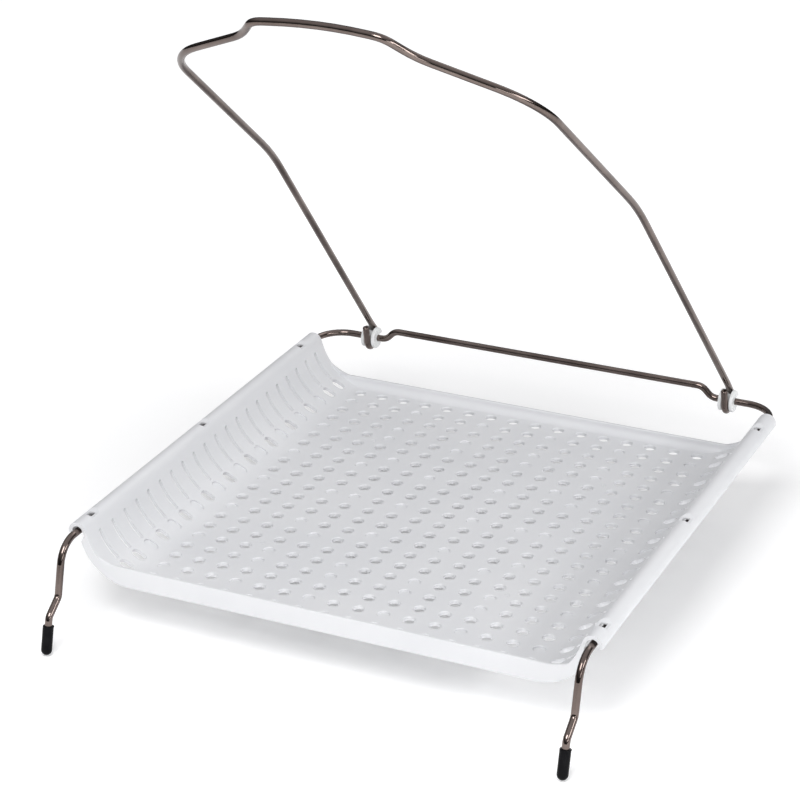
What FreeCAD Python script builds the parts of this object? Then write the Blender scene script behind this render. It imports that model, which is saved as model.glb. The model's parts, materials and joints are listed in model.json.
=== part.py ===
import FreeCAD, Part
import os
from math import acos, atan2, cos, pi, radians, sin, tan
from FreeCAD import Vector

# Wall mounted fold down drying rack, in millimetres.
#
# Frame: the origin is the middle of the hanging bar, the stretch of the hanger that rests on the wall hook.
# +X runs along the hinge, +Y points away from the wall and +Z is up. The wall is on the -Y side.

# ---- driving dimensions -------------------------------------------------------------------------------

ROD_DIAMETER = 5.0
ROD_RADIUS = ROD_DIAMETER / 2

# hanger: seen from the side it climbs from the hinge towards the wall in three straight stretches,
# the lower arms, the upper arms and the crest that ends in the hanging bar
LOWER_ARM_LENGTH = 274.7      # hinge axis to the bend
LOWER_ARM_ANGLE = 49.3        # above horizontal, towards the wall
UPPER_ARM_LENGTH = 185.5
UPPER_ARM_ANGLE = 37.2
CORNER_TO_STEP = 41.0         # along the crest
STEP_LENGTH = 19.8
CREST_ANGLE = 44.0
ARM_HALF_SPAN_HINGE = 144.0   # the arms draw together a little on the way up
ARM_HALF_SPAN_BEND = 132.1
CORNER_HALF_SPAN = 123.1
STEP_HALF_SPAN = 56.4
HANG_HALF_SPAN = 42.3
HANG_BOW_PEAK = 4.2           # where the bar's two straight ends would meet, square to the crest
HANG_BOW_REACH = 32.0         # half of the bowed middle
BEND_RADIUS = 220.0
CORNER_RADIUS = 55.0
STEP_FOOT_RADIUS = 45.0
STEP_HEAD_RADIUS = 12.0
HOOK_TIP_LENGTH = 14.0        # straight end of the hook
HOOK_TIP_LEAN = 12.0          # degrees from vertical, away from the arm
ROD_END_ROUND = 1.2
ARM_FOOT_LENGTH = 12.0        # straight foot of each arm before it draws in
ARM_FOOT_RADIUS = 150.0

# frame rod
SIDE_ROD_X = 181.5
CROSS_BAR_RISE = 7.7          # raised middle of the cross bar
RISE_FOOT_X = 131.5
RISE_HEAD_X = 124.0
RISE_RADIUS = 9.0
FRAME_CORNER_RADIUS = 22.0
LEG_LEAN = 14.0               # degrees from vertical, towards the wall
LEG_TOP_REACH = 19.0          # from the tray's wall-side face to the leg's top corner
LEG_DROP = 35.0               # side rod down to the kink
KINK_OUT = 12.5
KINK_DROP = 9.0
LEG_END_DROP = 23.0
LEG_RADIUS = 18.0
KINK_RADIUS = 6.0

# bushes
BUSH_CLEARANCE = 0.05         # the bushes turn on the cross bar
BUSH_HUB_RADIUS = 5.0
BUSH_FLANGE_RADIUS = 8.1
BUSH_HUB_LENGTH = 5.8
BUSH_FLANGE_THICKNESS = 2.6
BUSH_SPLIT = 4.2

# foot caps
CAP_RADIUS = 3.7
CAP_LENGTH = 20.0
CAP_END_WALL = 2.0

# tray
TRAY_LENGTH = 350.0           # wall side to outer side
TRAY_TO_HINGE = 24.4          # outer face of the tray to the hinge axis
SHEET = 2.6                   # wall thickness of the moulding
ROD_ABOVE_FLOOR = 30.0
WALL_RADIUS = 38.0            # curve from the floor up into each side wall
WALL_TOP_ANGLE = 70.0         # slope of the side wall where it meets the channel
CHANNEL_RADIUS = 6.5          # outer radius of the channel over the side rod
CHANNEL_SKIRT = 1.5
WALL_LIP_HEIGHT = 10.0        # top of the wall-side lip above the floor
OUTER_LIP_HEIGHT = 7.0
LIP_DROP = 4.5                # lower edge of the end bands below the floor's top
LIP_REACH = 16.0              # how far the lip's straight top runs on over the side wall's curve
LIP_MEET_ANGLE = 50.0         # where the lip's top runs out on the side wall
LIP_BULGE = 0.6               # rise of the arc in which it runs out
END_BAND_RADIUS = 36.4
END_BAND_TOP_ANGLE = 75.0
END_BAND_INSET = 2.2          # outer edge of the band from the side rod's axis
END_BAND_TOP_INSET = 4.4      # the top of the band hides under the channel
END_BAND_TOP_DROP = 3.0
COVE_RADIUS = 6.0
EDGE_ROUND = 0.9

COLUMNS = 16
COLUMN_PITCH = 18.0
ROWS = 21
ROW_PITCH = 16.0
HOLE_RADIUS = 4.0
HOLE_BEVEL = 0.5
BLIND_DEPTH = 1.1
THROUGH_DEPTH = 3 * SHEET     # deep enough to cut through the sheet and the end bands behind it
OVAL_LENGTH = 11.0
OVAL_WIDTH = 7.6
OVAL_ANGLE = 26.0             # where the ovals sit on the curve of the wall
SLOT_LENGTH = 24.0
SLOT_WIDTH = 3.4
SLOT_ANGLE = 55.0
GATE_X = 5 * COLUMN_PITCH
GATE_Y = 5.5 * ROW_PITCH
GATE_RING_RADIUS = 1.9
GATE_RING_INNER = 0.9
GATE_RING_DEPTH = 0.3

WINDOW_SPACING = 154.0        # between the three snap windows of each channel
WINDOW_OFFSET = -2.5          # of the middle window from the tray's middle
POCKET_FLOOR = 4.9            # flat cut across the channel's top, above the side rod's axis
POCKET_WIDTH = 10.0
POCKET_WALL_END = 5.6         # upright end, from the window's middle towards the wall
POCKET_RAMP_START = 2.2       # the ramp rises from here to the channel's top
POCKET_RAMP_SLOPE = 22.0
WINDOW_WALL_END = 3.4         # through hole in the pocket's floor
WINDOW_WIDTH = 4.4
SNAP_LENGTH = 7.0
SNAP_THICKNESS = 1.8
SNAP_ROOT = 5.3               # the snap hook starts this far in from the rod's axis, in the wall
SNAP_TIP = 1.0                # and ends this far out beyond it
LEAD_IN_START = 0.6
LEAD_IN_SLOPE = 35.0
SADDLE_LENGTH = 2.4
SADDLE_OFFSET = 10.0          # from a window's middle, on both sides of it
SNAP_GAP = 0.03

# ---- places worked out from them ----------------------------------------------------------------------

X_AXIS = Vector(1, 0, 0)
Y_AXIS = Vector(0, 1, 0)
Z_AXIS = Vector(0, 0, 1)


def climbing(angle):
    """The direction towards the wall at an angle above horizontal."""
    return Vector(0, -cos(radians(angle)), sin(radians(angle)))


CREST_UP = Vector(0, sin(radians(CREST_ANGLE)), cos(radians(CREST_ANGLE)))
BOW_SLOPE = atan2(HANG_BOW_PEAK, HANG_HALF_SPAN)
BOW_RADIUS = HANG_BOW_REACH / tan(BOW_SLOPE)
BOW_RISE = HANG_BOW_PEAK - BOW_RADIUS * (1 / cos(BOW_SLOPE) - 1)
HANG_END = CREST_UP * -BOW_RISE
STEP_FOOT = HANG_END - climbing(CREST_ANGLE) * STEP_LENGTH
CORNER = STEP_FOOT - climbing(CREST_ANGLE) * CORNER_TO_STEP
BEND = CORNER - climbing(UPPER_ARM_ANGLE) * UPPER_ARM_LENGTH
HINGE = BEND - climbing(LOWER_ARM_ANGLE) * LOWER_ARM_LENGTH
HINGE_Y = HINGE.y
HINGE_Z = HINGE.z
HOOK_RADIUS = BUSH_HUB_RADIUS + ROD_RADIUS + 0.02
OUTER_FACE_Y = HINGE_Y - TRAY_TO_HINGE
WALL_FACE_Y = OUTER_FACE_Y - TRAY_LENGTH
TRAY_MIDDLE_Y = (OUTER_FACE_Y + WALL_FACE_Y) / 2
FLOOR_Z = HINGE_Z - ROD_ABOVE_FLOOR
CHANNEL_INNER_RADIUS = CHANNEL_RADIUS - SHEET


# ---- helpers ------------------------------------------------------------------------------------------

def mirrored(points):
    """The same points on the other side of the middle plane, in the opposite order."""
    return [Vector(-p.x, p.y, p.z) for p in reversed(points)]


def rounded_path(corners, radii):
    """A wire through the corners, each inner corner replaced by a tangent arc of its radius."""
    edges = []
    start = corners[0]
    for corner, ahead, radius in zip(corners[1:-1], corners[2:], radii):
        back = (start - corner).normalize()
        forward = (ahead - corner).normalize()
        half_turn = back.getAngle(forward) / 2
        reach = radius / tan(half_turn)
        first = corner + back * reach
        last = corner + forward * reach
        to_centre = (back + forward).normalize()
        middle = corner + to_centre * (radius / sin(half_turn) - radius)
        edges.append(Part.LineSegment(start, first).toShape())
        edges.append(Part.Arc(first, middle, last).toShape())
        start = last
    edges.append(Part.LineSegment(start, corners[-1]).toShape())
    return edges


def rod_along(edges):
    """A round rod swept along tangent edges."""
    path = Part.Wire(edges)
    first = path.Edges[0]
    start = first.valueAt(first.FirstParameter)
    direction = first.tangentAt(first.FirstParameter)
    section = Part.Wire(Part.Circle(start, direction, ROD_RADIUS).toShape())
    return path.makePipeShell([section], True, False)


def stadium(length, width, centre, along, normal, depth):
    """A round-ended prism centred on a point, its length along one direction and its depth along another."""
    across = normal.cross(along)
    half = (length - width) / 2
    radius = width / 2
    low = centre - normal * (depth / 2)
    corners = []
    for end in (1, -1):
        middle = low + along * (half * end)
        corners.append((middle + across * (radius * end), middle + along * (radius * end),
                        middle - across * (radius * end)))
    edges = []
    for index in (0, 1):
        edges.append(Part.Arc(*corners[index]).toShape())
        edges.append(Part.LineSegment(corners[index][2], corners[1 - index][0]).toShape())
    return Part.Face(Part.Wire(edges)).extrude(normal * depth)


def box_between(low, high):
    size = high - low
    return Part.makeBox(size.x, size.y, size.z, low)


# ---- hanger -------------------------------------------------------------------------------------------

def hook_angles():
    """Where the hook's bend starts and where it runs tangent into the arm, about the hinge axis."""
    reach_y = BEND.y - HINGE_Y
    reach_z = BEND.z - HINGE_Z
    distance = (reach_y ** 2 + reach_z ** 2) ** 0.5
    leave = atan2(reach_z, reach_y) - acos(HOOK_RADIUS / distance)
    return -pi + radians(HOOK_TIP_LEAN), leave


def on_hook(angle):
    return Vector(ARM_HALF_SPAN_HINGE, HINGE_Y + HOOK_RADIUS * cos(angle), HINGE_Z + HOOK_RADIUS * sin(angle))


def hanger_rod():
    """One bent rod: hook, arm, corner, step, hanging bar, and the same back down the other side."""
    front, leave = hook_angles()
    foot = on_hook(leave)
    foot_end = foot + Vector(0, -sin(leave), cos(leave)) * ARM_FOOT_LENGTH
    right = [foot, foot_end,
             BEND + X_AXIS * ARM_HALF_SPAN_BEND,
             CORNER + X_AXIS * CORNER_HALF_SPAN,
             STEP_FOOT + X_AXIS * STEP_HALF_SPAN,
             HANG_END + X_AXIS * HANG_HALF_SPAN]
    bow_peak = HANG_END + CREST_UP * HANG_BOW_PEAK
    radii = [ARM_FOOT_RADIUS, BEND_RADIUS, CORNER_RADIUS, STEP_FOOT_RADIUS, STEP_HEAD_RADIUS]
    hook = [on_hook(front), on_hook((front + leave) / 2), foot]
    tip = hook[0] + Vector(0, sin(front), -cos(front)) * HOOK_TIP_LENGTH
    edges = [Part.LineSegment(tip, hook[0]).toShape(), Part.Arc(*hook).toShape()]
    edges += rounded_path(right + [bow_peak] + mirrored(right), radii + [BOW_RADIUS] + radii[::-1])
    hook = mirrored(hook)
    edges += [Part.Arc(*hook).toShape(), Part.LineSegment(hook[2], mirrored([tip])[0]).toShape()]
    rod = rod_along(edges)
    ends = [edge for edge in rod.Edges if isinstance(edge.Curve, Part.Circle)
            and any((edge.Curve.Center - end).Length < ROD_RADIUS for end in [tip] + mirrored([tip]))]
    return rod.makeFillet(ROD_END_ROUND, ends)


# ---- frame rod ----------------------------------------------------------------------------------------

def leg_points():
    """The right leg from its top corner to its end, inside the cap."""
    slope = tan(radians(LEG_LEAN))
    top = Vector(SIDE_ROD_X, WALL_FACE_Y - LEG_TOP_REACH, HINGE_Z)
    kink = top + Vector(0, -LEG_DROP * slope, -LEG_DROP)
    foot = kink + Vector(0, -KINK_OUT, -KINK_DROP)
    end = foot + Vector(0, -LEG_END_DROP * slope, -LEG_END_DROP)
    return [end, foot, kink, top]


def frame_rod():
    """One bent rod: leg, side rod, corner, cross bar with its raised middle, and back on the other side."""
    right = leg_points() + [
        Vector(SIDE_ROD_X, HINGE_Y, HINGE_Z),
        Vector(RISE_FOOT_X, HINGE_Y, HINGE_Z),
        Vector(RISE_HEAD_X, HINGE_Y, HINGE_Z + CROSS_BAR_RISE)]
    radii = [KINK_RADIUS, KINK_RADIUS, LEG_RADIUS, FRAME_CORNER_RADIUS, RISE_RADIUS, RISE_RADIUS]
    return rod_along(rounded_path(right + mirrored(right), radii + radii[::-1]))


# ---- bushes and caps ----------------------------------------------------------------------------------

def bush(side):
    """A flanged bush split along its outer side, so that it snaps over the cross bar."""
    length = BUSH_HUB_LENGTH + 2 * BUSH_FLANGE_THICKNESS
    start = Vector(side * ARM_HALF_SPAN_HINGE - length / 2, HINGE_Y, HINGE_Z)
    solid = Part.makeCylinder(BUSH_HUB_RADIUS, length, start, X_AXIS)
    for offset in (0, length - BUSH_FLANGE_THICKNESS):
        flange = Part.makeCylinder(BUSH_FLANGE_RADIUS, BUSH_FLANGE_THICKNESS, start + X_AXIS * offset, X_AXIS)
        rims = [edge for edge in flange.Edges if isinstance(edge.Curve, Part.Circle)]
        solid = solid.fuse(flange.makeFillet(EDGE_ROUND / 2, rims))
    bore = Part.makeCylinder(ROD_RADIUS + BUSH_CLEARANCE, length, start, X_AXIS)
    split = box_between(start + Vector(0, 0, -BUSH_SPLIT / 2),
                        start + Vector(length, 2 * BUSH_FLANGE_RADIUS, BUSH_SPLIT / 2))
    return solid.cut(bore.fuse(split))


def foot_cap(side):
    """A round-ended sleeve pushed over the end of the leg."""
    end, foot = leg_points()[:2]
    up = (foot - end).normalize()
    tip = end - up * CAP_END_WALL
    round_centre = tip + up * CAP_RADIUS
    outer = Part.makeCylinder(CAP_RADIUS, CAP_LENGTH - CAP_RADIUS, round_centre, up)
    rim = [edge for edge in outer.Edges
           if isinstance(edge.Curve, Part.Circle) and (edge.Curve.Center - round_centre).Length > CAP_RADIUS]
    outer = outer.makeFillet(EDGE_ROUND / 2, rim)
    outer = outer.fuse(Part.makeSphere(CAP_RADIUS, round_centre)).removeSplitter()
    cap = outer.cut(Part.makeCylinder(ROD_RADIUS, CAP_LENGTH, end, up))
    if side < 0:
        cap = cap.mirror(Vector(0, 0, 0), X_AXIS)
    return cap


# ---- tray ---------------------------------------------------------------------------------------------

def section_point(x, height):
    """A point of the tray's section, with its height above the floor's top, on the wall-side end."""
    return Vector(x, WALL_FACE_Y, FLOOR_Z + height)


def around_rod(radius, angle):
    """A point of the section around the right side rod."""
    turn = radians(angle)
    return section_point(SIDE_ROD_X + radius * cos(turn), ROD_ABOVE_FLOOR + radius * sin(turn))


def wall_start_x():
    """Where the flat floor ends and the curve up into the right side wall begins."""
    slope = radians(WALL_TOP_ANGLE)
    top = around_rod(CHANNEL_RADIUS, WALL_TOP_ANGLE + 90)
    rise = top.z - FLOOR_Z - WALL_RADIUS * (1 - cos(slope))
    return top.x - rise / tan(slope) - WALL_RADIUS * sin(slope)


def on_wall(angle, depth):
    """A point of the wall's curve where its slope is the angle, a depth under its inner surface."""
    turn = radians(angle)
    radius = WALL_RADIUS + depth
    return section_point(wall_start_x() + radius * sin(turn), WALL_RADIUS - radius * cos(turn))


def half_line(depth):
    """Edges of the right half of the section at a depth under the inner surface, skirt to floor middle."""
    radius = CHANNEL_RADIUS - depth
    skirt = around_rod(radius, 0)
    shoulder = around_rod(radius, WALL_TOP_ANGLE + 90)
    return [
        Part.LineSegment(skirt - Z_AXIS * CHANNEL_SKIRT, skirt).toShape(),
        Part.Arc(skirt, around_rod(radius, (WALL_TOP_ANGLE + 90) / 2), shoulder).toShape(),
        Part.LineSegment(shoulder, on_wall(WALL_TOP_ANGLE, depth)).toShape(),
        Part.Arc(*[on_wall(WALL_TOP_ANGLE * part, depth) for part in (1, 0.5, 0)]).toShape(),
        Part.LineSegment(on_wall(0, depth), section_point(0, -depth)).toShape()]


def both_sides(half_shape):
    """A right half joined to its mirror image across the middle plane."""
    return half_shape.fuse(half_shape.mirror(Vector(0, 0, 0), X_AXIS)).removeSplitter()


def sheet():
    """The moulding's constant-thickness sheet: floor, side walls and channels."""
    inner = half_line(0)
    outer = half_line(SHEET)
    skirt_end = Part.LineSegment(outer[0].firstVertex().Point, inner[0].firstVertex().Point).toShape()
    middle = Part.LineSegment(section_point(0, 0), section_point(0, -SHEET)).toShape()
    face = Part.Face(Part.Wire(Part.__sortEdges__(inner + outer + [skirt_end, middle])))
    return both_sides(face.extrude(Y_AXIS * TRAY_LENGTH))


def end_band_half(lip_height):
    """The right half of an end band's face: lip above the floor, and a flange outside the side wall."""
    turn = radians(END_BAND_TOP_ANGLE)
    band_x = SIDE_ROD_X - END_BAND_INSET - END_BAND_RADIUS * sin(turn)

    def on_band(angle):
        reach = radians(angle)
        return section_point(band_x + END_BAND_RADIUS * sin(reach),
                             END_BAND_RADIUS * (1 - cos(reach)) - LIP_DROP)

    lip_end = section_point(wall_start_x() + LIP_REACH, lip_height)
    on_surface = on_wall(LIP_MEET_ANGLE, 0)
    sideways = (on_surface - lip_end).cross(Y_AXIS).normalize()
    blend = (lip_end + on_surface) / 2 - sideways * LIP_BULGE
    inside = on_wall(LIP_MEET_ANGLE, SHEET / 2)
    halfway = on_wall((LIP_MEET_ANGLE + WALL_TOP_ANGLE) / 2, SHEET / 2)
    top = on_wall(WALL_TOP_ANGLE, SHEET / 2)
    flange_top = section_point(SIDE_ROD_X - END_BAND_TOP_INSET, ROD_ABOVE_FLOOR - END_BAND_TOP_DROP)
    edges = [
        Part.LineSegment(section_point(0, lip_height), lip_end).toShape(),
        Part.Arc(lip_end, blend, on_surface).toShape(),
        Part.LineSegment(on_surface, inside).toShape(),
        Part.Arc(inside, halfway, top).toShape(),
        Part.LineSegment(top, flange_top).toShape(),
        Part.LineSegment(flange_top, on_band(END_BAND_TOP_ANGLE)).toShape(),
        Part.Arc(on_band(END_BAND_TOP_ANGLE), on_band(END_BAND_TOP_ANGLE / 2), on_band(0)).toShape(),
        Part.LineSegment(on_band(0), section_point(0, -LIP_DROP)).toShape(),
        Part.LineSegment(section_point(0, -LIP_DROP), section_point(0, lip_height)).toShape()]
    return Part.Face(Part.Wire(edges))


def end_band(lip_height):
    """An end band on the wall side, with its long edges rounded on the outer face and along the lip."""
    band = both_sides(end_band_half(lip_height).extrude(Y_AXIS * SHEET))
    rounded = []
    for edge in band.Edges:
        box = edge.BoundBox
        on_outer_face = box.YMax < WALL_FACE_Y + 0.01
        low_or_lip = box.ZMax < FLOOR_Z + lip_height + 0.01 and box.XLength > 100
        if low_or_lip and (on_outer_face or box.ZMin > FLOOR_Z):
            rounded.append(edge)
    return band.makeFillet(EDGE_ROUND, rounded)


def cove():
    """The hollow fillet between the wall-side lip and the floor, kept inside the side walls."""
    inner_y = WALL_FACE_Y + SHEET
    corner = Vector(-SIDE_ROD_X, inner_y - SHEET / 2, FLOOR_Z - SHEET / 2)
    floor_end = Vector(-SIDE_ROD_X, inner_y + COVE_RADIUS, FLOOR_Z)
    lip_end = Vector(-SIDE_ROD_X, inner_y, FLOOR_Z + COVE_RADIUS)
    hollow = COVE_RADIUS * (1 - sin(radians(45)))
    middle = Vector(-SIDE_ROD_X, inner_y + hollow, FLOOR_Z + hollow)
    below_floor = Vector(-SIDE_ROD_X, floor_end.y, corner.z)
    behind_lip = Vector(-SIDE_ROD_X, corner.y, lip_end.z)
    edges = [
        Part.Arc(floor_end, middle, lip_end).toShape(),
        Part.LineSegment(lip_end, behind_lip).toShape(),
        Part.LineSegment(behind_lip, corner).toShape(),
        Part.LineSegment(corner, below_floor).toShape(),
        Part.LineSegment(below_floor, floor_end).toShape()]
    wedge = Part.Face(Part.Wire(edges)).extrude(X_AXIS * 2 * SIDE_ROD_X)
    centre_line = half_line(SHEET / 2)[3:]
    top = centre_line[0].firstVertex().Point
    over = section_point(0, top.z - FLOOR_Z)
    edges = centre_line + [
        Part.LineSegment(top, over).toShape(),
        Part.LineSegment(over, section_point(0, -SHEET / 2)).toShape()]
    inside = Part.Face(Part.Wire(Part.__sortEdges__(edges))).extrude(Y_AXIS * TRAY_LENGTH)
    return wedge.common(both_sides(inside))


def is_blind(column, row):
    """The holes that are closed at the bottom: every third of every third row, and a few more."""
    if row % 3 == 1 and column % 3 == 0:
        return True
    if row in (3, ROWS - 4) and column in (3, 6, 9, 12):
        return True
    return row in (6, 10, 14) and column in (4, 11)


def row_y(row):
    return TRAY_MIDDLE_Y + (row - (ROWS - 1) / 2) * ROW_PITCH


def round_hole(x, y, depth):
    """A cutter for one round hole with a small bevel at its mouth."""
    top = Vector(x, y, FLOOR_Z)
    shaft = Part.makeCylinder(HOLE_RADIUS, depth, top - Z_AXIS * depth, Z_AXIS)
    mouth_radius = HOLE_RADIUS + 2 * HOLE_BEVEL
    mouth = Part.makeCone(HOLE_RADIUS, mouth_radius, 2 * HOLE_BEVEL, top - Z_AXIS * HOLE_BEVEL)
    cutter = shaft.fuse(mouth)
    cutter.rotate(top, Z_AXIS, 90)    # turns the seam away from the foot of the side wall
    return cutter


def floor_cutters():
    cutters = []
    for row in range(ROWS):
        for column in range(COLUMNS):
            x = (column - (COLUMNS - 1) / 2) * COLUMN_PITCH
            depth = BLIND_DEPTH if is_blind(column, row) else THROUGH_DEPTH
            cutters.append(round_hole(x, row_y(row), depth))
    return cutters


def wall_cutters():
    """One oval at the foot of the wall and one long slot up the wall for each row, on both sides.

    Every second oval is blind, but for the first and last.
    """
    cutters = []
    for row in range(ROWS):
        blind = row % 2 == 0 and 0 < row < ROWS - 1
        oval_depth = BLIND_DEPTH if blind else THROUGH_DEPTH
        openings = ((OVAL_ANGLE, OVAL_LENGTH, OVAL_WIDTH, oval_depth),
                    (SLOT_ANGLE, SLOT_LENGTH, SLOT_WIDTH, THROUGH_DEPTH))
        for angle, length, width, depth in openings:
            turn = radians(angle)
            along = Vector(cos(turn), 0, sin(turn))
            normal = Vector(-sin(turn), 0, cos(turn))
            centre = on_wall(angle, 0)
            centre.y = row_y(row)
            cutter = stadium(length, width, centre, along, normal, 2 * depth)
            cutters.append(cutter)
            cutters.append(cutter.mirror(Vector(0, 0, 0), X_AXIS))
    return cutters


def window_cutters(y):
    """A pocket across the right channel's top: a through hole at its wall side, a ramp at its outer side."""
    start = Vector(SIDE_ROD_X - POCKET_WIDTH / 2, y, HINGE_Z)
    above = CHANNEL_RADIUS + 1
    ramp_end = POCKET_RAMP_START + (above - POCKET_FLOOR) / tan(radians(POCKET_RAMP_SLOPE))
    outline = [(-POCKET_WALL_END, above), (-POCKET_WALL_END, POCKET_FLOOR), (POCKET_RAMP_START, POCKET_FLOOR),
               (ramp_end, above)]
    corners = [start + Vector(0, along, height) for along, height in outline]
    pocket = Part.Face(Part.makePolygon(corners + corners[:1])).extrude(X_AXIS * POCKET_WIDTH)
    hole = box_between(Vector(SIDE_ROD_X - WINDOW_WIDTH / 2, y - WINDOW_WALL_END, HINGE_Z + ROD_RADIUS),
                       Vector(SIDE_ROD_X + WINDOW_WIDTH / 2, y + POCKET_RAMP_START, HINGE_Z + above))
    return pocket.fuse(hole)


def snap(y):
    """A hook under the right side rod that holds the tray on the frame, with a sloping lead-in."""
    under = HINGE_Z - ROD_RADIUS - SNAP_GAP
    half = SNAP_LENGTH / 2
    hook = box_between(Vector(SIDE_ROD_X - SNAP_ROOT, y - half, under - SNAP_THICKNESS),
                       Vector(SIDE_ROD_X + SNAP_TIP, y + half, under))
    lead = box_between(Vector(SIDE_ROD_X - LEAD_IN_START, y - half, under - 3 * SNAP_THICKNESS),
                       Vector(SIDE_ROD_X + 3 * SNAP_TIP, y + half, under - SNAP_THICKNESS))
    lead.rotate(Vector(SIDE_ROD_X - LEAD_IN_START, y, under - SNAP_THICKNESS), Y_AXIS, -LEAD_IN_SLOPE)
    return hook.cut(lead)


def saddle(y):
    """A rib inside the right channel that rests on top of the side rod."""
    over = HINGE_Z + ROD_RADIUS + SNAP_GAP
    rib = Part.makeCylinder(CHANNEL_INNER_RADIUS + SHEET / 2, SADDLE_LENGTH,
                            Vector(SIDE_ROD_X, y - SADDLE_LENGTH / 2, HINGE_Z), Y_AXIS)
    keep = box_between(Vector(SIDE_ROD_X - CHANNEL_RADIUS, y - SADDLE_LENGTH, over),
                       Vector(SIDE_ROD_X + CHANNEL_RADIUS, y + SADDLE_LENGTH, HINGE_Z + CHANNEL_RADIUS))
    return rib.common(keep)


def gate_marks():
    """Four small ring marks left by the mould between the holes."""
    marks = []
    for x in (-GATE_X, GATE_X):
        for y in (TRAY_MIDDLE_Y - GATE_Y, TRAY_MIDDLE_Y + GATE_Y):
            base = Vector(x, y, FLOOR_Z - GATE_RING_DEPTH)
            ring = Part.makeCylinder(GATE_RING_RADIUS, GATE_RING_DEPTH, base, Z_AXIS)
            marks.append(ring.cut(Part.makeCylinder(GATE_RING_INNER, GATE_RING_DEPTH, base, Z_AXIS)))
    return marks


def tray():
    """The whole moulding: sheet, end bands and coves, snaps, then every opening."""
    middle = Vector(0, TRAY_MIDDLE_Y, 0)
    wall_side = end_band(WALL_LIP_HEIGHT).fuse(cove())
    outer_side = end_band(OUTER_LIP_HEIGHT).fuse(cove()).mirror(middle, Y_AXIS)
    body = sheet().fuse([wall_side, outer_side])
    windows = [TRAY_MIDDLE_Y + WINDOW_OFFSET + step * WINDOW_SPACING for step in (-1, 0, 1)]
    added = []
    cut = floor_cutters() + wall_cutters() + gate_marks()
    for y in windows:
        for shape in (snap(y), saddle(y - SADDLE_OFFSET), saddle(y + SADDLE_OFFSET)):
            added += [shape, shape.mirror(Vector(0, 0, 0), X_AXIS)]
        opening = window_cutters(y)
        cut += [opening, opening.mirror(Vector(0, 0, 0), X_AXIS)]
    body = body.cut(cut)
    return body.fuse(added)


# ---- write --------------------------------------------------------------------------------------------

def main():
    os.makedirs("parts", exist_ok=True)
    nodes = {
        "tray": tray(),
        "frame_rod": frame_rod(),
        "hanger_rod": hanger_rod(),
        "bush_left": bush(-1),
        "bush_right": bush(1),
        "foot_cap_left": foot_cap(-1),
        "foot_cap_right": foot_cap(1)}
    for name, shape in nodes.items():
        solids = shape.Solids
        print(f"{name}: {len(solids)} solid(s), valid {shape.isValid()}, volume {shape.Volume:.0f}")
        part = solids[0] if len(solids) == 1 else shape
        part.exportStep(f"parts/{name}.step")


main()
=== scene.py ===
import json
from math import cos, pi, radians, sin

import bpy
from mathutils import Euler, Matrix, Vector

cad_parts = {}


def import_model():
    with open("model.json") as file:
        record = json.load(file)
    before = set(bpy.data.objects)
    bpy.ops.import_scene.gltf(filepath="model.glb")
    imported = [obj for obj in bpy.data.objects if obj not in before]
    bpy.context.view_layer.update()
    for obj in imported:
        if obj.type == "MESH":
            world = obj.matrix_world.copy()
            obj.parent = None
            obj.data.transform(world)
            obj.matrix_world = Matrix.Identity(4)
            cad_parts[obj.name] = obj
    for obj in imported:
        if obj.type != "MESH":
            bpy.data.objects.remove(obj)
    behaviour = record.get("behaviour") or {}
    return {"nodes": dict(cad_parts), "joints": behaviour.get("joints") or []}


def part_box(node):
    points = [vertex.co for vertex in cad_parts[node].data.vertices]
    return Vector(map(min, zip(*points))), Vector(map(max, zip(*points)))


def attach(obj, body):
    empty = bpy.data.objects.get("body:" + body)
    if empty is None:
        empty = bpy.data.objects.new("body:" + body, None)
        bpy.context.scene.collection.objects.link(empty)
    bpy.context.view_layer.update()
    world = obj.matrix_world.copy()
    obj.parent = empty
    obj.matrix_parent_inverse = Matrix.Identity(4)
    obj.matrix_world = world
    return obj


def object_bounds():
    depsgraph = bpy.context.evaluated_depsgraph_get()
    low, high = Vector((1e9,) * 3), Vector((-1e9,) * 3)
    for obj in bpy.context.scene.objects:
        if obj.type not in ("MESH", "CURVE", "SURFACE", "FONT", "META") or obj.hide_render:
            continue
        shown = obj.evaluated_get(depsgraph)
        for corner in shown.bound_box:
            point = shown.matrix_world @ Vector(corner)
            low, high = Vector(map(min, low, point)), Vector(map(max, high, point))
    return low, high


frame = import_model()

# Wall mounted fold down drying rack. Metres, +Z up, the wall on the -Y side, the hinge along X.

CAD_LOW, CAD_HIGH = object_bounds()
CENTRE = (CAD_LOW + CAD_HIGH) / 2
HINGE = Vector(frame["joints"][0]["pos_m"])
WHITE = (1.0, 1.0, 1.0, 1.0)

# The camera. Angles are in degrees, and azimuth 0 is the wall side.
VIEW_AZIMUTH = 24.9
VIEW_ELEVATION = 24.6
VIEW_ROLL = -0.3
VIEW_DISTANCE = 1.722
VIEW_LENS = 117.0              # millimetres, as the sensor is
VIEW_SENSOR = 36.0
VIEW_FAR = 50.0
VIEW_TARGET = HINGE + Vector((-0.0057, -0.2464, 0.0750))

# The collars round the open ends of the leg caps.
LEG_LEAN = 14.0                # degrees; the legs run down towards the wall
CAP_LENGTH = 0.020
COLLAR_RADIUS = 0.0034         # to the middle of the collar's section
COLLAR_HALF_THICKNESS = 0.0004
COLLAR_HALF_LENGTH = 1.4 * COLLAR_HALF_THICKNESS
COLLAR_BELOW_MOUTH = 0.0009
COLLAR_STEPS = 12              # round the section
COLLAR_TURNS = 64              # round the cap

# The backdrop.
SOFT_LIGHT = 0.45              # what matt surfaces get from it
ROOM_TONES = ((0.0, 0.03), (0.18, 0.05), (0.5, 0.35), (0.85, 0.8))   # height and brightness
COOLNESS = 1.02                # blue against red and green

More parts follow.
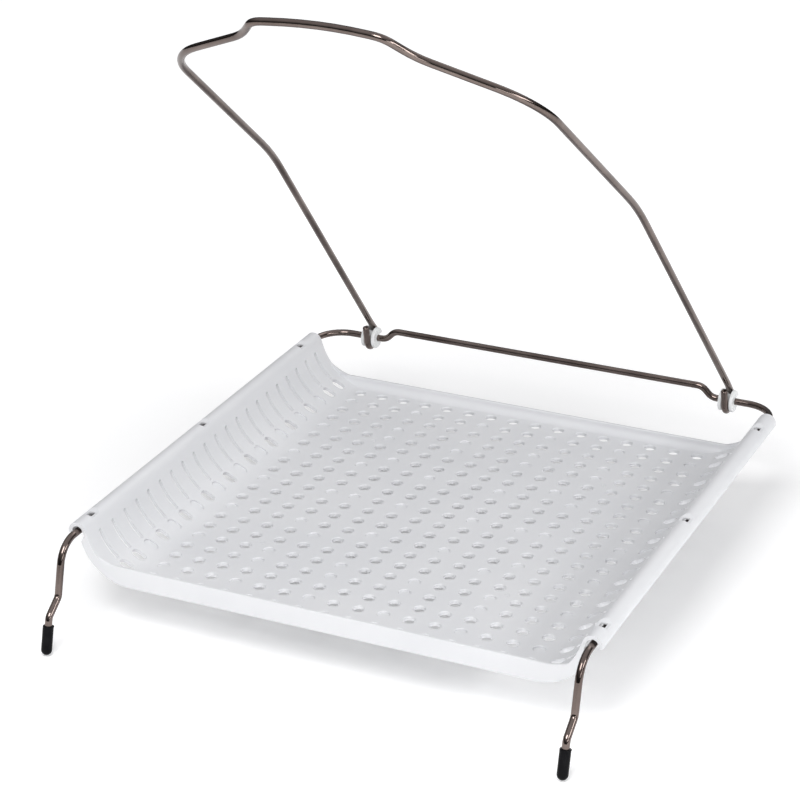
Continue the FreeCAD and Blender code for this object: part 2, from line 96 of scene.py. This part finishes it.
# The floor glows, and glows less in a soft round patch, a painted shadow under the rack. The patch is
# placed where this script's camera sees the floor through the tray's holes, so it suits that view and no
# other.
FLOOR_GAP = 0.0005             # under the lowest point of the rack
FLOOR_SIZE = 9.0
PAINTED_SHADOW_MIDDLE = (0.0, 0.25, CAD_LOW.z)
PAINTED_SHADOW_RADIUS = 0.14
PAINTED_SHADOW_OUTER_RADIUS = 0.55
FLOOR_GLOW = (0.08, 0.46)      # in the patch and outside it

# Most of a noise texture's values lie between these two.
NOISE_LOW = 0.3
NOISE_HIGH = 0.7


# ---- materials ----------------------------------------------------------------------------------------

def fill_ramp(node, stops):
    """Gives a colour ramp its (position, colour) stops."""
    elements = node.color_ramp.elements
    while len(elements) < len(stops):
        elements.new(0.5)
    for element, (position, colour) in zip(elements, stops):
        element.position = position
        element.color = (*colour, 1.0)


class Shader:
    """A new material with a Principled shader, and short calls that add and join nodes."""

    def __init__(self, name):
        self.material = bpy.data.materials.new(name)
        self.material.use_nodes = True
        self.tree = self.material.node_tree
        self.principled = self.tree.nodes["Principled BSDF"]
        self.place = self.tree.nodes.new("ShaderNodeTexCoord").outputs["Object"]

    def set(self, **values):
        """Sets uniform values on the shader's sockets, with _ for the spaces in their names."""
        for name, value in values.items():
            self.principled.inputs[name.replace("_", " ")].default_value = value

    def link(self, output, name):
        self.tree.links.new(output, self.principled.inputs[name])

    def noise(self, scale, detail=2.0, roughness=0.5):
        node = self.tree.nodes.new("ShaderNodeTexNoise")
        node.inputs["Scale"].default_value = scale
        node.inputs["Detail"].default_value = detail
        node.inputs["Roughness"].default_value = roughness
        self.tree.links.new(self.place, node.inputs["Vector"])
        return node.outputs["Fac"]

    def distance_from(self, point):
        node = self.tree.nodes.new("ShaderNodeVectorMath")
        node.operation = "DISTANCE"
        node.inputs[1].default_value = point
        self.tree.links.new(self.place, node.inputs[0])
        return node.outputs["Value"]

    def two_tone(self, factor, dark, light, start=NOISE_LOW, end=NOISE_HIGH):
        """A colour that goes from dark at the start value to light at the end value."""
        node = self.tree.nodes.new("ShaderNodeValToRGB")
        fill_ramp(node, [(start, dark), (end, light)])
        self.tree.links.new(factor, node.inputs["Fac"])
        return node.outputs["Color"]

    def spread(self, factor, low, high, start=NOISE_LOW, end=NOISE_HIGH, curve="LINEAR"):
        """A number that goes from low at the start value to high at the end value."""
        node = self.tree.nodes.new("ShaderNodeMapRange")
        node.interpolation_type = curve
        node.inputs["From Min"].default_value = start
        node.inputs["From Max"].default_value = end
        node.inputs["To Min"].default_value = low
        node.inputs["To Max"].default_value = high
        self.tree.links.new(factor, node.inputs["Value"])
        return node.outputs["Result"]

    def bump(self, height, distance, strength=1.0, under=None):
        node = self.tree.nodes.new("ShaderNodeBump")
        node.inputs["Strength"].default_value = strength
        node.inputs["Distance"].default_value = distance
        self.tree.links.new(height, node.inputs["Height"])
        if under is not None:
            self.tree.links.new(under, node.inputs["Normal"])
        return node.outputs["Normal"]


def white_plastic():
    """Satin moulded plastic: fine spark-eroded grain, faint flow clouds."""
    shader = Shader("white_plastic")
    clouds = shader.noise(scale=14.0, detail=3.0)
    colour = shader.two_tone(clouds, (0.665, 0.672, 0.69), (0.695, 0.70, 0.715), start=0.35, end=0.65)
    shader.link(colour, "Base Color")
    shader.link(shader.spread(shader.noise(scale=320.0, detail=3.0), low=0.36, high=0.46), "Roughness")
    waves = shader.bump(shader.noise(scale=40.0, detail=1.0), distance=0.0004, strength=0.15)
    grain = shader.bump(shader.noise(scale=2600.0), distance=0.00004, strength=0.5, under=waves)
    shader.link(grain, "Normal")
    shader.set(IOR=1.49)
    return shader.material


def bronze_rod():
    """Bent rod with a smooth dark bronze plating, a little uneven in tone and polish along its length."""
    shader = Shader("bronze_rod")
    tone = shader.noise(scale=28.0, detail=3.0, roughness=0.55)
    shader.link(shader.two_tone(tone, (0.105, 0.081, 0.073), (0.20, 0.162, 0.147)), "Base Color")
    shader.link(shader.spread(shader.noise(scale=240.0, detail=3.0), low=0.09, high=0.17), "Roughness")
    ripple = shader.bump(shader.noise(scale=90.0), distance=0.0004, strength=0.2)
    grain = shader.bump(shader.noise(scale=1800.0), distance=0.00002, strength=0.15, under=ripple)
    shader.link(grain, "Normal")
    shader.set(Metallic=1.0)
    return shader.material


def bush_plastic():
    """Glossier white plastic of the two bushes."""
    shader = Shader("bush_plastic")
    tone = shader.noise(scale=120.0)
    shader.link(shader.two_tone(tone, (0.78, 0.79, 0.79), (0.83, 0.84, 0.84)), "Base Color")
    shader.link(shader.spread(shader.noise(scale=900.0), low=0.22, high=0.34), "Roughness")
    shader.link(shader.bump(shader.noise(scale=1300.0), distance=0.00004, strength=0.3), "Normal")
    shader.set(IOR=1.5)
    return shader.material


def black_cap():
    """Black dipped vinyl with shallow waves in its skin and only a faint gloss."""
    shader = Shader("black_cap")
    tone = shader.noise(scale=200.0)
    shader.link(shader.two_tone(tone, (0.003, 0.003, 0.004), (0.007, 0.007, 0.008)), "Base Color")
    shader.link(shader.spread(shader.noise(scale=500.0), low=0.04, high=0.09), "Roughness")
    waves = shader.bump(shader.noise(scale=260.0, detail=1.0), distance=0.0003, strength=0.16)
    shader.link(waves, "Normal")
    shader.set(IOR=1.45, Specular_IOR_Level=0.08)
    return shader.material


def floor_painted_shadow():
    """Pale matt paint that glows, less so in a soft round patch of painted shadow under the rack."""
    shader = Shader("floor_painted_shadow")
    tone = shader.noise(scale=3.0)
    shader.link(shader.two_tone(tone, (0.93, 0.93, 0.93), (0.95, 0.95, 0.95)), "Base Color")
    shader.set(Roughness=0.9, Emission_Color=WHITE)
    painted_shadow_glow, open_glow = FLOOR_GLOW
    # Painted shadow: the floor's glow drops inside a soft round patch under the rack.
    away = shader.distance_from(PAINTED_SHADOW_MIDDLE)
    glow = shader.spread(away, painted_shadow_glow, open_glow, start=PAINTED_SHADOW_RADIUS, end=PAINTED_SHADOW_OUTER_RADIUS, curve="SMOOTHSTEP")
    shader.link(glow, "Emission Strength")
    return shader.material


def dress(node, material):
    mesh = frame["nodes"][node].data
    mesh.materials.clear()
    mesh.materials.append(material)


# ---- pieces made here ---------------------------------------------------------------------------------

def lathe(name, outline, steps, place):
    """A ring with the (radius, height) outline as its closed section, turned round Z and put in place."""
    vertices = []
    faces = []
    count = len(outline)
    for step in range(steps):
        turn = 2 * pi * step / steps
        vertices += [(radius * cos(turn), radius * sin(turn), height) for radius, height in outline]
        here = step * count
        there = (step + 1) % steps * count
        for index in range(count):
            beside = (index + 1) % count
            faces.append((here + index, here + beside, there + beside, there + index))
    mesh = bpy.data.meshes.new(name)
    mesh.from_pydata(vertices, [], faces)
    mesh.shade_smooth()
    piece = bpy.data.objects.new(name, mesh)
    bpy.context.scene.collection.objects.link(piece)
    piece.matrix_world = place
    return piece


def collar_section():
    """The (radius, height) points of the collar's oval section."""
    turns = [2 * pi * step / COLLAR_STEPS for step in range(COLLAR_STEPS)]
    return [(COLLAR_RADIUS + COLLAR_HALF_THICKNESS * cos(turn), COLLAR_HALF_LENGTH * sin(turn))
            for turn in turns]


def mouth_of_cap(low, high):
    """The place and lean of a cap's collar, near its open end, found from the cap's box."""
    lean = radians(LEG_LEAN)
    axis = Vector((0, sin(lean), cos(lean)))
    middle = (low + high) / 2
    centre = middle + axis * (CAP_LENGTH / 2 - COLLAR_BELOW_MOUTH)
    return Matrix.Translation(centre) @ Matrix.Rotation(-lean, 4, "X")


def cap_collar(side, finish):
    """A slim collar round a cap's open end."""
    low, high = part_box("foot_cap_" + side)
    piece = lathe("cap_collar_" + side, collar_section(), COLLAR_TURNS, mouth_of_cap(low, high))
    piece.data.materials.append(finish)
    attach(piece, "tray_frame")


# ---- stage --------------------------------------------------------------------------------------------

def floor():
    half = FLOOR_SIZE / 2
    level = CAD_LOW.z - FLOOR_GAP
    mesh = bpy.data.meshes.new("floor")
    corners = [(-half, -half, level), (half, -half, level), (half, half, level), (-half, half, level)]
    mesh.from_pydata(corners, [], [(0, 1, 2, 3)])
    mesh.materials.append(floor_painted_shadow())
    plane = bpy.data.objects.new("floor", mesh)
    bpy.context.scene.collection.objects.link(plane)


def aimed(thing, place, target, roll=0.0):
    """Puts a camera or lamp at a place, looking at a target, with world Z up but for the roll."""
    turn = (target - place).to_track_quat("-Z", "Y").to_matrix().to_4x4()
    thing.matrix_world = turn @ Euler((0, 0, radians(roll))).to_matrix().to_4x4()
    thing.location = place


def around(azimuth, elevation, distance, target):
    """The point at a distance from the target; azimuth 0 is the wall side, positive towards +X."""
    turn = Euler((-radians(elevation), 0, radians(azimuth))).to_matrix()
    return target + turn @ Vector((0, -distance, 0))


def soft_box(name, azimuth, elevation, distance, size, power):
    """A rectangular area light of so many watts that faces the middle of the rack."""
    light = bpy.data.lights.new(name, "AREA")
    light.shape = "RECTANGLE"
    light.size, light.size_y = size
    light.energy = power
    lamp = bpy.data.objects.new(name, light)
    bpy.context.scene.collection.objects.link(lamp)
    aimed(lamp, around(azimuth, elevation, distance, CENTRE), CENTRE)


def cool(value):
    """A grey with a trace of blue."""
    return (value, value, value * COOLNESS)


def room(tree):
    """The room that shiny surfaces mirror, from dark at the horizon to a lit ceiling."""
    direction = tree.nodes.new("ShaderNodeTexCoord")
    height = tree.nodes.new("ShaderNodeSeparateXYZ")
    tree.links.new(direction.outputs["Generated"], height.inputs["Vector"])
    tones = tree.nodes.new("ShaderNodeValToRGB")
    fill_ramp(tones, [(level, cool(brightness)) for level, brightness in ROOM_TONES])
    tree.links.new(height.outputs["Z"], tones.inputs["Fac"])
    return tones.outputs["Color"]


def mixed(tree, factor, first, second):
    """The first where the factor is 0 and the second where it is 1; each is a colour or an output."""
    mix = tree.nodes.new("ShaderNodeMix")
    mix.data_type = "RGBA"
    tree.links.new(factor, mix.inputs["Factor"])
    for name, value in (("A", first), ("B", second)):
        if isinstance(value, tuple):
            mix.inputs[name].default_value = value
        else:
            tree.links.new(value, mix.inputs[name])
    return mix.outputs["Result"]


def world():
    """A backdrop that is white to the camera, a soft light to matt surfaces and a room to shiny ones."""
    backdrop = bpy.data.worlds.new("studio")
    bpy.context.scene.world = backdrop
    backdrop.use_nodes = True
    tree = backdrop.node_tree
    path = tree.nodes.new("ShaderNodeLightPath")
    unseen = mixed(tree, path.outputs["Is Glossy Ray"], (*cool(SOFT_LIGHT), 1.0), room(tree))
    colour = mixed(tree, path.outputs["Is Camera Ray"], unseen, WHITE)
    tree.links.new(colour, tree.nodes["Background"].inputs["Color"])


def camera():
    data = bpy.data.cameras.new("camera")
    data.lens = VIEW_LENS
    data.sensor_width = VIEW_SENSOR
    data.clip_end = VIEW_FAR
    holder = bpy.data.objects.new("camera", data)
    bpy.context.scene.collection.objects.link(holder)
    place = around(VIEW_AZIMUTH, VIEW_ELEVATION, VIEW_DISTANCE, VIEW_TARGET)
    aimed(holder, place, VIEW_TARGET, VIEW_ROLL)
    bpy.context.scene.camera = holder


# ---- scene --------------------------------------------------------------------------------------------

camera()
world()
floor()
soft_box("key", azimuth=3, elevation=46, distance=1.7, size=(0.8, 0.7), power=17)
soft_box("front", azimuth=55, elevation=9, distance=1.7, size=(1.0, 0.35), power=4)
soft_box("side", azimuth=80, elevation=22, distance=1.7, size=(0.8, 0.3), power=7)
soft_box("rim", azimuth=170, elevation=45, distance=1.8, size=(1.4, 0.6), power=3)
bpy.context.scene.view_settings.view_transform = "Standard"

PLASTIC = white_plastic()
BRONZE = bronze_rod()
BUSH = bush_plastic()
CAP = black_cap()
FINISHES = {
    "tray": PLASTIC,
    "frame_rod": BRONZE,
    "hanger_rod": BRONZE,
    "bush_left": BUSH,
    "bush_right": BUSH,
    "foot_cap_left": CAP,
    "foot_cap_right": CAP}
for node_name, finish in FINISHES.items():
    dress(node_name, finish)
for side_name in ("left", "right"):
    cap_collar(side_name, CAP)
